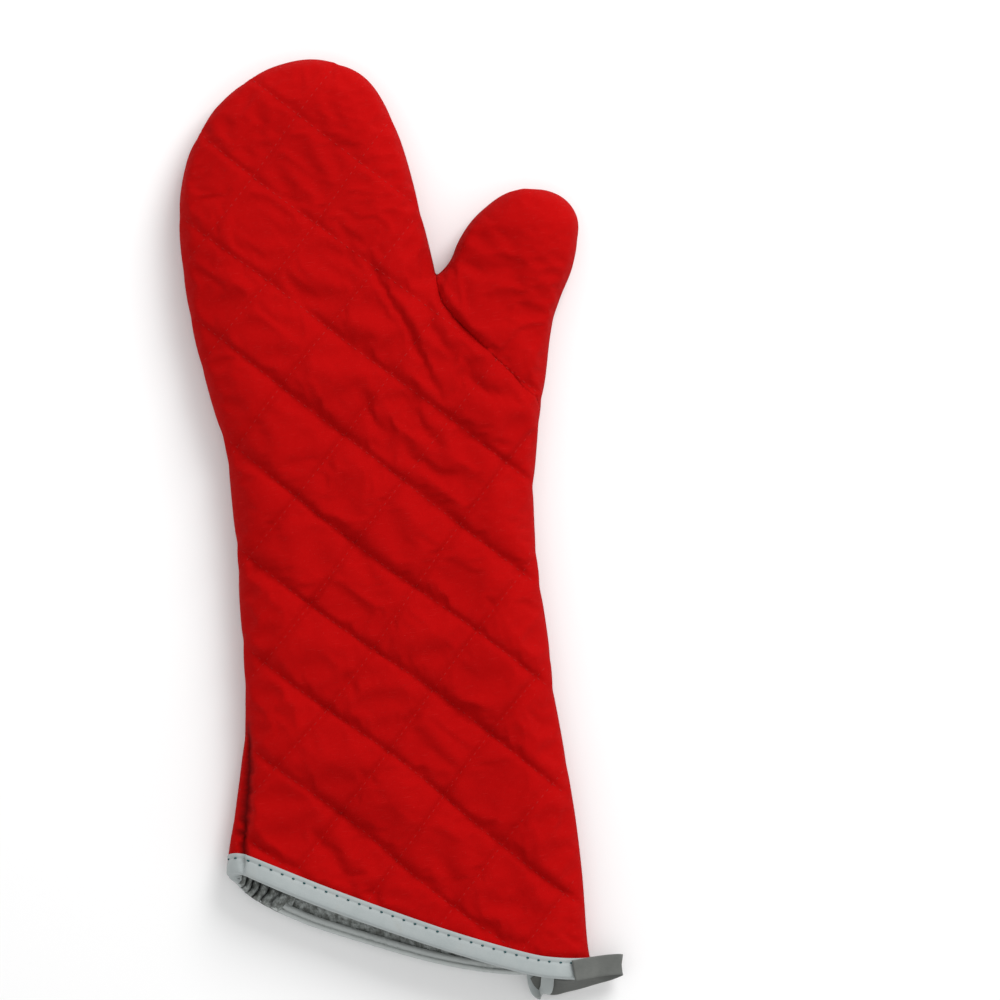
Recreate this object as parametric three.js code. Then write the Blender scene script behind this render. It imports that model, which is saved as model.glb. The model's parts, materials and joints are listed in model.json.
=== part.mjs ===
// A quilted oven mitt with a long slanted cuff, lying flat with its palm side up.
// Millimetres. +X is the thumb's side, +Y runs to the fingertips, +Z is up, and the floor is at Z = 0.
//
// Each side of the mitt, palm and back, is three layers: a cotton cover, wadding, and a reflective lining.
// The two sides meet at the side seam, a level line that runs all round the outline. Each layer is cut
// where the mitt bends, at the knuckles and along the thumb crease, so that the rigid pieces can turn.
import * as THREE from "three";

// ---- Driving dimensions: the outline, from a start at the middle of the cuff ----
const cuffWidth = 172;
const cuffCentre = -3.5;
const rimLeft = 37; // height of the rim at its short, little-finger side
const rimDrop = 70; // how much lower the rim is at its long, thumb side
const rimBow = 8; // how far the middle of the rim bows out from a straight cut
const wristWidth = 148;
const wristCentre = 8;
const wristHeight = 165;
const palmLeft = 64; // from the start line to the little-finger side of the palm
const palmHeight = 230;
const fingerWidth = 117;
const fingerCentre = -13;
const fingerLength = 113; // from the bottom of the gap beside the thumb to the fingertips
const fingerRound = 60; // height of the rounded top of the finger pocket
const fingerLean = 11; // how far the fingertip leans to the thumb's side
const crotchReach = 50.5; // from the start line to the bottom of the gap beside the thumb
const crotchHeight = 313;
const thumbRootReach = 93.5; // from the start line to the outer end of the thumb crease
const thumbRootDrop = 70; // how far that end is below the crotch
const thumbTipRadius = 28;
const thumbLength = 64; // from the crotch to the middle of the thumb's round tip, along the thumb
const thumbSpread = 9; // degrees that the thumb points up from square across the body
const thumbNotch = 4; // how deep the outer edge dips under the thumb's tip

// ---- Driving dimensions: the layers and how far they puff ----
const coverThickness = 0.8;
const waddingThickness = 4;
const liningThickness = 0.6;
const layerGap = 0.3;
const seamHeight = 10; // of the side seam above the floor
const seamGap = 0.3;
const cuffCrown = 16; // rise of the palm side above the seam, at the rim
const palmCrown = 20; // the same in the palm
const fingerCrown = 18; // the same at the fingertips
const edgeRound = 26; // width of the rounded edge of each side

// ---- Driving dimensions: tape, thread and the moving lines ----
const tapeThickness = 0.8;
const bindingWidth = 9.5;
const bindingEase = 0.3; // extra room between the lining and the binding's inner edge
const threadDiameter = 0.5;
const threadInset = 2; // of the stitch line from the binding's edge
const loopLength = 16;
const loopEye = 6; // clear height of the loop's eye
const knuckleRise = 25; // of the knuckle line above the crotch
const bendHeight = 15; // of both bending lines above the floor
const knuckleBend = 50; // degrees
const thumbBend = 45; // degrees
const bendClearance = 0.5;

// ---- How finely the surfaces are divided ----
const columns = 12;
const thumbColumns = 8;
const tipOpening = THREE.MathUtils.degToRad(8); // half of the short flat at the end of a round tip

const crotch = new THREE.Vector2(crotchReach, crotchHeight);
const thumbRootHeight = crotchHeight - thumbRootDrop;
const fingertipHeight = crotchHeight + fingerLength;
const thumbRoot = new THREE.Vector2(thumbRootReach, thumbRootHeight);
const knuckleHeight = crotchHeight + knuckleRise;
const panelThickness = coverThickness + waddingThickness + liningThickness + 2 * layerGap;
const bindingReach = layerGap + tapeThickness; // of the binding's face out from the cover

// ================================ The outline ================================

// Points along a smooth curve through the given ones.
function smooth(points, count) {
  return new THREE.SplineCurve(points.map(([x, y]) => new THREE.Vector2(x, y))).getPoints(count);
}

// The little-finger side, from the cuff to where the fingertips start to round.
function littleFingerSide() {
  const shoulder = fingertipHeight - fingerRound;
  return smooth(
    [
      [cuffCentre - cuffWidth / 2, rimLeft],
      [(cuffCentre - cuffWidth / 2 + wristCentre - wristWidth / 2) / 2 + 3, (rimLeft + wristHeight) / 2],
      [wristCentre - wristWidth / 2, wristHeight],
      [-palmLeft, palmHeight],
      [fingerCentre - fingerWidth / 2, (palmHeight + shoulder) / 2 + 15],
      [fingerCentre - fingerWidth / 2, shoulder],
    ],
    30,
  );
}

// The thumb's side of the cuff and wrist, up to the outer end of the thumb crease.
function wristSide() {
  return smooth(
    [
      [cuffCentre + cuffWidth / 2, rimLeft - rimDrop],
      [wristCentre + wristWidth / 2, (rimLeft + wristHeight) / 2],
      [wristCentre + wristWidth / 2 + 1, wristHeight],
      [thumbRootReach, thumbRootHeight],
    ],
    20,
  );
}

// The side of the finger pocket that faces the thumb, from the crotch up.
function fingerSide() {
  const shoulder = fingertipHeight - fingerRound;
  return smooth(
    [
      [crotchReach, crotchHeight],
      [(crotchReach + fingerCentre + fingerWidth / 2) / 2, (crotchHeight + shoulder) / 2],
      [fingerCentre + fingerWidth / 2, shoulder],
    ],
    6,
  );
}

// One half of the rounded top of the finger pocket: side is -1 for the little-finger half.
function fingerRounding(side) {
  const points = [];
  const steps = 7;
  for (let i = 0; i <= steps; i += 1) {
    const angle = (Math.PI / 2 - tipOpening) * (i / steps);
    const rise = Math.sin(angle);
    const x = fingerCentre + (side * fingerWidth * Math.cos(angle)) / 2 + fingerLean * rise * rise;
    points.push(new THREE.Vector2(x, fingertipHeight - fingerRound * (1 - rise)));
  }
  return points;
}

// The thumb crease runs from its root to the crotch, and the thumb points away from it.
const creaseAlong = crotch.clone().sub(thumbRoot).normalize();
const creaseAcross = new THREE.Vector2(creaseAlong.y, -creaseAlong.x);
const thumbDirection = THREE.MathUtils.degToRad(thumbSpread);
const thumbTip = new THREE.Vector2(Math.cos(thumbDirection), Math.sin(thumbDirection))
  .multiplyScalar(thumbLength - thumbTipRadius / 2)
  .add(crotch)
  .add(new THREE.Vector2(-thumbNotch, 0));
const tipAngle = Math.atan2(creaseAcross.y, creaseAcross.x);

function onThumbTip(angle) {
  return new THREE.Vector2(Math.cos(angle), Math.sin(angle)).multiplyScalar(thumbTipRadius).add(thumbTip);
}

// One side of the thumb, from the crease to the middle of its tip: side is 1 for the inner side.
function thumbSide(side) {
  const start = side > 0 ? crotch : thumbRoot;
  const turn = THREE.MathUtils.degToRad(side > 0 ? 118 : 66);
  const firstOnTip = onThumbTip(tipAngle + side * turn);
  const middle = start.clone().lerp(firstOnTip, 0.55);
  middle.addScaledVector(creaseAlong, (side > 0 ? 0.4 : 1) * thumbNotch);
  const points = smooth([start.toArray(), middle.toArray(), firstOnTip.toArray()], 8);
  const steps = 8;
  for (let i = 1; i <= steps; i += 1) {
    const left = turn + (tipOpening - turn) * (i / steps);
    points.push(onThumbTip(tipAngle + side * left));
  }
  return points;
}

const leftEdge = [...littleFingerSide(), ...fingerRounding(-1).slice(1)];
const fingerEdge = [...fingerSide(), ...fingerRounding(1).slice(1)];
const wristEdge = wristSide();
const thumbInner = thumbSide(1);
const thumbOuter = thumbSide(-1);

// Both side edges carry on in a straight line past the rim, where the binding reaches over it.
function pastTheRim(edge) {
  const beyond = edge[0].clone().sub(edge[1]).setLength(3 * bindingWidth).add(edge[0]);
  return [beyond, ...edge];
}

const leftPastRim = pastTheRim(leftEdge);
const wristPastRim = pastTheRim(wristEdge);

const outline = [
  ...leftPastRim,
  ...[...fingerEdge].reverse(),
  ...thumbInner.slice(1),
  ...[...thumbOuter].reverse(),
  ...[...wristPastRim].reverse().slice(1),
];

// Where an edge is at a given height. Edges only climb, so there is one such point.
function atHeight(edge, y) {
  let i = 0;
  while (i < edge.length - 2 && edge[i + 1].y < y) i += 1;
  const t = (y - edge[i].y) / (edge[i + 1].y - edge[i].y);
  return edge[i].clone().lerp(edge[i + 1], t);
}

// The distance of a point from the side seam, less than zero outside it.
function distanceInside(point) {
  let best = Infinity;
  let inside = false;
  for (let i = 0; i < outline.length; i += 1) {
    const a = outline[i];
    const b = outline[(i + 1) % outline.length];
    if (a.y > point.y !== b.y > point.y && point.x < a.x + ((point.y - a.y) * (b.x - a.x)) / (b.y - a.y)) {
      inside = !inside;
    }
    if (i === outline.length - 1) break; // the last stretch is the open mouth
    const along = b.clone().sub(a);
    const t = THREE.MathUtils.clamp(point.clone().sub(a).dot(along) / along.lengthSq(), 0, 1);
    best = Math.min(best, point.distanceTo(a.clone().addScaledVector(along, t)));
  }
  return inside ? best : -best;
}

// ================================ The puffed surfaces ================================

// How far the outer face stands above the seam on the palm side, or below it on the back.
function crownAt(isPalm, point) {
  const aboveRim = point.y - THREE.MathUtils.lerp(rimLeft, rimLeft - rimDrop, rimShare(point.x));
  if (!isPalm) {
    const lift = bindingReach + threadDiameter + layerGap;
    const nearRim = 1 - THREE.MathUtils.smoothstep(aboveRim, bindingWidth, 5 * bindingWidth);
    return seamHeight - seamGap / 2 - lift * nearRim;
  }
  const toPalm = THREE.MathUtils.smoothstep(aboveRim, 0, wristHeight - rimLeft);
  const toTips = THREE.MathUtils.smoothstep(point.y, knuckleHeight, fingertipHeight);
  return THREE.MathUtils.lerp(THREE.MathUtils.lerp(cuffCrown, palmCrown, toPalm), fingerCrown, toTips);
}

function rimShare(x) {
  return THREE.MathUtils.clamp((x - cuffCentre) / cuffWidth + 1 / 2, 0, 1);
}

// A point on the surface that lies depth below the outer face.
function surfacePoint(isPalm, point, depth) {
  const reach = Math.max(0, distanceInside(point) - depth);
  const left = 1 - Math.min(1, reach / edgeRound);
  const rise = seamGap / 2 + (crownAt(isPalm, point) - depth) * Math.sqrt(1 - left * left);
  return [point.x, point.y, seamHeight + (isPalm ? rise : -rise)];
}

// Moves the end of a row along the row until it is depth inside the seam, or outside it where depth is
// less than zero.
function insetEnd(end, towards, depth) {
  const step = towards.clone().sub(end).normalize();
  const moved = end.clone();
  for (let i = 0; i < 20; i += 1) {
    const short = depth - distanceInside(moved);
    moved.addScaledVector(step, depth < 0 ? short : Math.max(0, short));
  }
  return moved;
}

// The room that a piece leaves beside a bending line: none where it is lower than the line.
function bendRoom(isPalm, point, degrees) {
  const height = isPalm ? surfacePoint(true, point, 0)[2] : 0;
  const half = Math.tan(THREE.MathUtils.degToRad(degrees / 2));
  return layerGap / 2 + Math.max(0, height - bendHeight) * half + (isPalm ? bendClearance : 0);
}

// Spreads the points of a row from one end to the other, closer together near the edges.
function spread(start, end, count) {
  const points = [];
  for (let j = 0; j <= count; j += 1) {
    points.push(start.clone().lerp(end, (1 - Math.cos((Math.PI * j) / count)) / 2));
  }
  return points;
}

// The inward direction at a point of an edge; turn is 1 where the mitt lies to the right of the edge.
function inward(edge, point, turn) {
  let i = 0;
  while (i < edge.length - 2 && edge[i + 1].y <= point.y) i += 1;
  const along = edge[i + 1].clone().sub(edge[i]).normalize();
  return new THREE.Vector2(along.y, -along.x).multiplyScalar(turn);
}

// ================================ Rows of points for each region ================================

// The bow of a row in the cuff at one of its columns: full beside the rim, none at the wrist.
function bowAt(leftY, column) {
  const across = Math.cos((Math.PI * column) / columns);
  return rimBow * (1 - across * across) * (1 - THREE.MathUtils.smoothstep(leftY, rimLeft + bindingWidth, wristHeight));
}

// The hand: the cuff and palm, from the rim up to the knuckle line. Its thumb side follows the wrist,
// then the thumb crease, then the finger pocket.
function handRows(isPalm, depth) {
  const rows = [];
  const rowHeights = [[rimLeft, rimLeft - rimDrop]];
  for (const share of [0, 0.14, 0.28, 0.42, 0.56, 0.71, 0.86, 1]) {
    rowHeights.push([
      THREE.MathUtils.lerp(rimLeft + bindingWidth, thumbRootHeight, share),
      THREE.MathUtils.lerp(rimLeft - rimDrop + bindingWidth, thumbRootHeight, share),
    ]);
  }
  for (const share of [0.3, 0.6, 0.85, 1]) {
    const y = THREE.MathUtils.lerp(thumbRootHeight, crotchHeight, share);
    rowHeights.push([y, y]);
  }
  rowHeights.push([knuckleHeight, knuckleHeight]);
  for (const [leftY, rightY] of rowHeights) {
    const left = atHeight(leftEdge, leftY);
    let right = atHeight(wristEdge, rightY);
    if (rightY > crotchHeight) right = atHeight(fingerEdge, rightY);
    else if (rightY > thumbRootHeight) {
      right = thumbRoot.clone().lerp(crotch, (rightY - thumbRootHeight) / (crotchHeight - thumbRootHeight));
      right.addScaledVector(creaseAcross, -bendRoom(isPalm, right, thumbBend));
    }
    const row = spread(insetEnd(left, right, depth), insetEnd(right, left, depth), columns);
    row.forEach((point, j) => {
      point.y -= bowAt(leftY, j);
      if (rightY === knuckleHeight) point.y -= bendRoom(isPalm, point, knuckleBend);
    });
    rows.push(row);
  }
  return rows;
}

// The finger pocket, from the knuckle line to the fingertips.
function fingerRows(isPalm, depth) {
  const shoulder = fingertipHeight - fingerRound;
  const rows = [];
  const ends = [knuckleHeight, shoulder].map((y) => [atHeight(leftEdge, y), atHeight(fingerEdge, y)]);
  const leftRound = fingerRounding(-1);
  const rightRound = fingerRounding(1);
  for (const i of [2, 3, 4, 5, 6, 7]) ends.push([leftRound[i], rightRound[i]]);
  ends.forEach(([left, right], k) => {
    const round = k / (ends.length - 1);
    const pull = round * round * depth;
    const start = left.clone().addScaledVector(inward(leftEdge, left, 1), pull);
    const end = right.clone().addScaledVector(inward(fingerEdge, right, -1), pull);
    const row = spread(insetEnd(start, end, depth), insetEnd(end, start, depth), columns);
    if (k === 0) for (const point of row) point.y += bendRoom(isPalm, point, knuckleBend);
    rows.push(row);
  });
  return rows;
}

// The thumb, from its crease to its tip.
function thumbRows(isPalm, depth) {
  const rows = [];
  const picks = [0, 3, 6, 8, 10, 12, 14, 16];
  picks.forEach((i, k) => {
    const share = k / (picks.length - 1);
    const pull = share * share * depth;
    const start = thumbInner[i].clone().add(thumbTip.clone().sub(thumbInner[i]).setLength(pull));
    const end = thumbOuter[i].clone().add(thumbTip.clone().sub(thumbOuter[i]).setLength(pull));
    const row = spread(insetEnd(start, end, depth), insetEnd(end, start, depth), thumbColumns);
    if (k === 0) {
      for (const point of row) point.addScaledVector(creaseAcross, bendRoom(isPalm, point, thumbBend));
    }
    rows.push(row);
  });
  return rows;
}

// ================================ Solids ================================

// A closed solid between two grids of points with the same rows and columns.
function solidBetween(outer, inner) {
  const rowCount = outer.length;
  const columnCount = outer[0].length;
  const positions = [...outer.flat(), ...inner.flat()].flat();
  const index = [];
  const at = (layer, i, j) => layer * rowCount * columnCount + i * columnCount + j;
  const quad = (a, b, c, d) => index.push(a, b, c, a, c, d);
  for (let i = 0; i < rowCount - 1; i += 1) {
    for (let j = 0; j < columnCount - 1; j += 1) {
      quad(at(0, i, j), at(0, i, j + 1), at(0, i + 1, j + 1), at(0, i + 1, j));
      quad(at(1, i, j), at(1, i + 1, j), at(1, i + 1, j + 1), at(1, i, j + 1));
    }
  }
  for (let j = 0; j < columnCount - 1; j += 1) {
    const last = rowCount - 1;
    quad(at(1, 0, j), at(1, 0, j + 1), at(0, 0, j + 1), at(0, 0, j));
    quad(at(0, last, j), at(0, last, j + 1), at(1, last, j + 1), at(1, last, j));
  }
  for (let i = 0; i < rowCount - 1; i += 1) {
    const last = columnCount - 1;
    quad(at(0, i, 0), at(0, i + 1, 0), at(1, i + 1, 0), at(1, i, 0));
    quad(at(1, i, last), at(1, i + 1, last), at(0, i + 1, last), at(0, i, last));
  }
  return geometryOf(positions, index);
}

function geometryOf(positions, index) {
  const geometry = new THREE.BufferGeometry();
  geometry.setAttribute("position", new THREE.Float32BufferAttribute(positions, 3));
  geometry.setIndex(index);
  geometry.computeVertexNormals();
  return geometry;
}

// One layer of one region, on the palm or back side, between two depths below the outer face.
function layerGeometry(rowsOf, isPalm, from, to) {
  const surface = (depth) =>
    rowsOf(isPalm, depth).map((row) => {
      const points = row.map((point) => surfacePoint(isPalm, point, depth));
      return isPalm ? points : points.reverse();
    });
  return solidBetween(surface(from), surface(to));
}

// A ring round the mouth at a depth below the outer face and a height above the rim.
function mouthRing(depth, height) {
  const left = atHeight(leftPastRim, rimLeft + height);
  const right = atHeight(wristPastRim, rimLeft - rimDrop + height);
  const row = spread(insetEnd(left, right, depth), insetEnd(right, left, depth), columns);
  row.forEach((point, j) => {
    point.y -= bowAt(rimLeft, j);
  });
  const palm = row.map((point) => surfacePoint(true, point, depth));
  const back = row.map((point) => surfacePoint(false, point, depth)).reverse();
  return [...palm, ...back];
}

// A closed ring: the rings are joined in order, and the last to the first.
function ringSolid(rings) {
  const around = rings[0].length;
  const positions = rings.flat(2);
  const index = [];
  for (let i = 0; i < rings.length; i += 1) {
    const next = (i + 1) % rings.length;
    for (let j = 0; j < around; j += 1) {
      const k = (j + 1) % around;
      index.push(i * around + j, next * around + j, next * around + k);
      index.push(i * around + j, next * around + k, i * around + k);
    }
  }
  return geometryOf(positions, index);
}

// The binding: one tape folded over the rim, all round the mouth.
function bindingGeometry() {
  const outside = -bindingReach;
  const inside = panelThickness + bindingReach + bindingEase;
  return ringSolid([
    mouthRing(outside, bindingWidth),
    mouthRing(outside, -bindingReach),
    mouthRing(inside, -bindingReach),
    mouthRing(inside, bindingWidth),
    mouthRing(inside - tapeThickness, bindingWidth),
    mouthRing(inside - tapeThickness, -layerGap),
    mouthRing(-layerGap, -layerGap),
    mouthRing(-layerGap, bindingWidth),
  ]);
}

// The thread that sews the binding down, lying on its face all round the mouth.
function bindingThreadGeometry() {
  const depth = -bindingReach - layerGap - threadDiameter / 2;
  const height = bindingWidth - threadInset;
  const rings = [];
  const sides = 6;
  for (let i = 0; i < sides; i += 1) {
    const angle = (-2 * Math.PI * i) / sides;
    const out = (threadDiameter / 2) * Math.cos(angle);
    rings.push(mouthRing(depth - out, height + (threadDiameter / 2) * Math.sin(angle)));
  }
  return ringSolid(rings);
}

// The hanging loop: a doubled tape whose end is sewn in at the thumb end of the rim. The shape is the
// loop seen along the tape's width, and its root is at the start of the shape's own axes.
function loopGeometry() {
  const bulge = loopEye / 2 + tapeThickness;
  const neck = loopLength / 5;
  const middle = loopLength - bulge;
  const drawSides = (path, start, halfAtStart, half) => {
    path.moveTo(start, -halfAtStart);
    path.quadraticCurveTo(start + neck / 2, -half, middle, -half);
    path.absarc(middle, 0, half, -Math.PI / 2, Math.PI / 2);
    path.quadraticCurveTo(start + neck / 2, half, start, halfAtStart);
  };
  const outside = new THREE.Shape();
  drawSides(outside, neck, tapeThickness, bulge);
  outside.lineTo(0, tapeThickness);
  outside.lineTo(0, -tapeThickness);
  const eye = new THREE.Path();
  drawSides(eye, neck + 2 * tapeThickness, 0, loopEye / 2);
  outside.holes.push(eye);
  return new THREE.ExtrudeGeometry(outside, { depth: bindingWidth, bevelEnabled: false, curveSegments: 6 });
}

// ================================ Materials ================================

function cloth(colour, roughness, metalness = 0) {
  return new THREE.MeshStandardMaterial({ color: colour, roughness, metalness, side: THREE.FrontSide });
}

const redCotton = () => cloth("#b80f10", 0.9);
const whiteWadding = () => cloth("#e9e6de", 1);
const silverLining = () => cloth("#b0bab8", 0.5, 0.3);
const greyTape = () => cloth("#b4bdb8", 0.8);
const darkThread = () => cloth("#3d5a55", 0.8);

// ================================ The mitt ================================

const mitt = new THREE.Group();

function addPiece(name, geometry, material) {
  const piece = new THREE.Mesh(geometry, material);
  piece.name = name;
  mitt.add(piece);
  return piece;
}

const regions = { hand: handRows, fingers: fingerRows, thumb: thumbRows };
const waddingDepth = coverThickness + layerGap;
const liningDepth = waddingDepth + waddingThickness + layerGap;
for (const [region, rowsOf] of Object.entries(regions)) {
  for (const side of ["palm", "back"]) {
    const isPalm = side === "palm";
    addPiece(`${side}_cover_${region}`, layerGeometry(rowsOf, isPalm, 0, coverThickness), redCotton());
    addPiece(
      `${side}_wadding_${region}`,
      layerGeometry(rowsOf, isPalm, waddingDepth, waddingDepth + waddingThickness),
      whiteWadding(),
    );
    addPiece(
      `${side}_lining_${region}`,
      layerGeometry(rowsOf, isPalm, liningDepth, liningDepth + liningThickness),
      silverLining(),
    );
  }
}
addPiece("cuff_binding", bindingGeometry(), greyTape());
addPiece("binding_thread", bindingThreadGeometry(), darkThread());

// The loop starts clear of the binding's widest place beside it, with room for its end to swing.
const besideRim = [0, bindingWidth].map((height) => atHeight(wristPastRim, rimLeft - rimDrop + height).x);
const loopRoot = new THREE.Vector3(
  Math.max(...besideRim) + bindingReach + threadDiameter + tapeThickness + 2 * layerGap,
  rimLeft - rimDrop + bindingWidth - tapeThickness,
  seamHeight,
);
const loop = addPiece("hanging_loop", loopGeometry(), greyTape());
loop.rotation.x = Math.PI / 2;
loop.position.copy(loopRoot);

// The frame's origin is under the middle of the mitt, on the floor.
mitt.updateMatrixWorld(true);
const box = new THREE.Box3().setFromObject(mitt);
const middle = box.getCenter(new THREE.Vector3());
mitt.position.set(-middle.x, -middle.y, -box.min.z);

// The hinge lines, in the frame above: a point on each, and the direction that it turns about.
const inFrame = (x, y, z) => [x + mitt.position.x, y + mitt.position.y, z + mitt.position.z];
mitt.userData.hinges = {
  knuckle_bend: { point: inFrame(fingerCentre, knuckleHeight, bendHeight), axis: [1, 0, 0], degrees: knuckleBend },
  thumb_bend: {
    point: inFrame((crotchReach + thumbRootReach) / 2, (crotchHeight + thumbRootHeight) / 2, bendHeight),
    axis: [-creaseAlong.x, -creaseAlong.y, 0],
    degrees: thumbBend,
  },
  loop_swing: { point: inFrame(loopRoot.x, loopRoot.y - bindingWidth / 2, loopRoot.z), axis: [0, -1, 0] },
};

export default mitt;
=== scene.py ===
# %% [markdown]
# # A quilted oven mitt, lying flat
#
# The mitt is two quilted panels, palm and back, sewn together round their outline. Each panel is a red
# cotton cover, soft wadding and a silver lining. A grey tape binds the mouth, and a strip of tape,
# coloured darker, makes the hanging loop. The rigid model that comes with this lesson says where
# everything is and which lines the mitt bends about; this script builds the cloth around it.
#
# It could all be drawn as one height map, but cloth looks like cloth because it is a surface of fixed
# area held down at its seams. So each cover is cut out flat, held at its seams and quilting lines, and
# inflated with a short cloth simulation. Every other layer is made from the same cut.

import json
import math

import bpy
import numpy as np
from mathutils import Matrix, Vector
from mathutils.bvhtree import BVHTree
from mathutils.geometry import delaunay_2d_cdt


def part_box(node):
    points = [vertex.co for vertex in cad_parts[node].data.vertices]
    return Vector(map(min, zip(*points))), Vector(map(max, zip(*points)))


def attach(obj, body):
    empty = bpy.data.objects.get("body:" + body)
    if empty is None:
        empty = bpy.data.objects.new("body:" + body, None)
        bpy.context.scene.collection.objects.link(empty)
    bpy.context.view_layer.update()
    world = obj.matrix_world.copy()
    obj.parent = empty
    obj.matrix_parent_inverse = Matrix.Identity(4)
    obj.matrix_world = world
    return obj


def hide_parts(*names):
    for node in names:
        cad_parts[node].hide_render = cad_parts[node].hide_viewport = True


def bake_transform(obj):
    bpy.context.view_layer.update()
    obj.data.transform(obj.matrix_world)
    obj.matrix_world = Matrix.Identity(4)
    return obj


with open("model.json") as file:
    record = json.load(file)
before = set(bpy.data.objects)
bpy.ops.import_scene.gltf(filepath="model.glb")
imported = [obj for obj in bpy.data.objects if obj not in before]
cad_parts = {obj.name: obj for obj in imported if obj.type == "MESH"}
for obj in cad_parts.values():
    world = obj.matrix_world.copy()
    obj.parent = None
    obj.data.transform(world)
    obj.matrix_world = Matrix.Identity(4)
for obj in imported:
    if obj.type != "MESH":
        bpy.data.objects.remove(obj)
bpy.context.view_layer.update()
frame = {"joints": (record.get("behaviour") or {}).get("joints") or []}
joints = {joint["name"]: joint for joint in frame["joints"]}

# %% [markdown]
# ## The pattern
#
# A sewing pattern is drawn in its own flat coordinates: here millimetres from the middle of the cuff, X
# across the mitt and Y towards the fingertips. One joint's place ties the pattern to the frame. After
# that, every piece is worked out in the pattern and placed in the room only at the end.

# %% From the pattern to the frame
MM = 0.001
FINGER_MIDDLE = -13  # across, of the finger pocket's middle
KNUCKLES = 338  # up, of the line that the fingers bend about
SEAM_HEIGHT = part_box("palm_cover_hand")[0].z / MM  # of the side seam above the floor
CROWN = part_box("palm_cover_hand")[1].z / MM - SEAM_HEIGHT  # rise of the palm side above its seam

knuckle_point = joints["knuckle_bend"]["pos_m"]
pattern_start = np.array([knuckle_point[0] / MM - FINGER_MIDDLE, knuckle_point[1] / MM - KNUCKLES, 0])


def in_frame(points):
    """Pattern points in millimetres, as points of the frame in metres."""
    return (np.asarray(points, float) + pattern_start) * MM


print(f"the pattern starts at {pattern_start}, the seam is {SEAM_HEIGHT:.1f} mm up, the crown {CROWN:.1f} mm")

# %% Smooth lines through a few points


def smooth_line(points, step):
    """A Catmull-Rom curve through the points, as points about step apart."""
    points = np.asarray(points, float)
    padded = np.vstack([2 * points[0] - points[1], points, 2 * points[-1] - points[-2]])
    made = []
    for before, start, end, after in zip(padded, padded[1:], padded[2:], padded[3:]):
        count = max(2, round(np.linalg.norm(end - start) / 0.5))
        t = np.linspace(0, 1, count, endpoint=False)[:, None]
        made.append(
            start
            + t * (end - before) / 2
            + t**2 * (before - 2.5 * start + 2 * end - after / 2)
            + t**3 * (1.5 * start - before / 2 - 1.5 * end + after / 2)
        )
    return even_steps(np.vstack([*made, points[-1:]]), step)


def even_steps(line, step):
    """The same line, as points an equal distance apart."""
    along = np.concatenate([[0], np.cumsum(np.linalg.norm(np.diff(line, axis=0), axis=1))])
    count = max(2, round(along[-1] / step) + 1)
    wanted = np.linspace(0, along[-1], count)
    return np.stack([np.interp(wanted, along, line[:, k]) for k in range(line.shape[1])], axis=1)


# %% The outline and the rims
STEP = 2.64  # between neighbouring points of the cloth
CROTCH = (50.5, 313)
THUMB_ROOT = (93.5, 243)

hand_edge = smooth_line(
    [(-93, 16), (-89.9, 34), (-86.7, 47.5), (-76.4, 84), (-70, 114), (-66.4, 160), (-63.4, 212),
     (-63.3, 241), (-66, 260), (-71, 298), (-72.3, 329), (-70.5, 360), (-64, 383), (-57, 396), (-45, 410),
     (-26, 421.5), (-8, 426), (8, 425.5), (23.5, 419), (33.5, 407), (41.5, 383), (46.4, 352), (49.4, 325),
     CROTCH],
    STEP,
)
thumb_edge = smooth_line(
    [CROTCH, (54, 315), (59, 320), (64, 329), (71, 337), (79, 343), (88, 348), (98, 350.5), (110, 347.5),
     (119, 341), (123.3, 331), (121.5, 319), (117, 307), (109, 293), (102.5, 277), (97, 255), (88, 220),
     (82.8, 188), (81.8, 150), (82, 120), (81.5, 98), (83.5, 52), (83.4, 15), (81.6, -18), (81.8, -30),
     (83.5, -52)],
    STEP,
)  # fmt: skip
side_seam = np.vstack([hand_edge, thumb_edge[1:]])

# The two rims, where the binding folds over: the palm's, and the back's, which reaches further out.
palm_rim = smooth_line(
    [(-91, 35.9), (-86, 36.1), (-80.4, 35), (-45, 15.2), (-9, -3.4), (22, -18.3), (51, -30.6), (66, -34.8),
     (76, -36.6), (82.6, -37.4)],
    STEP,
)
back_rim = smooth_line(
    [(-91, 34.2), (-87, 32.5), (-79.5, 23.5), (-54, 6.6), (-19.5, -9.6), (3.8, -19.6), (24, -26.4),
     (40, -30.4), (54, -32.6), (68, -35.6), (82.6, -37.4)],
    STEP,
)


def cut_at(rim):
    """The closed outline of a panel that ends at a rim."""
    left = np.argmax(side_seam[:, 1] > rim[0, 1])
    right = len(side_seam) - np.argmax(side_seam[::-1, 1] > rim[-1, 1])
    inner = rim[(rim[:, 0] > side_seam[left, 0] + 1) & (rim[:, 0] < side_seam[right - 1, 0] - 1)]
    return np.vstack([side_seam[left:right], inner[::-1]])


palm_outline = cut_at(palm_rim)
back_outline = cut_at(back_rim)
print(f"outline points: palm {len(palm_outline)}, back {len(back_outline)}")

# %% Distances and directions on the pattern


def to_line(points, line, closed=False):
    """For each point: its distance to a line, how far along the line that is, and its side, 1 for left."""
    starts = line
    ends = np.roll(line, -1, axis=0) if closed else line[1:]
    starts = starts[: len(ends)]
    edges = ends - starts
    lengths = np.linalg.norm(edges, axis=1)
    before = np.concatenate([[0], np.cumsum(lengths)])[:-1]
    best = np.full(len(points), np.inf)
    along = np.zeros(len(points))
    side = np.ones(len(points))
    for start, edge, length, so_far in zip(starts, edges, lengths, before):
        offset = points[:, :2] - start
        share = np.clip(offset @ edge / max(length, 1e-9) ** 2, 0, 1)
        gap = offset - share[:, None] * edge
        distance = np.hypot(gap[:, 0], gap[:, 1])
        nearer = distance < best
        best[nearer] = distance[nearer]
        along[nearer] = so_far + share[nearer] * length
        side[nearer] = np.sign(edge[0] * offset[nearer, 1] - edge[1] * offset[nearer, 0])
    return best, along, side


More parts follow.
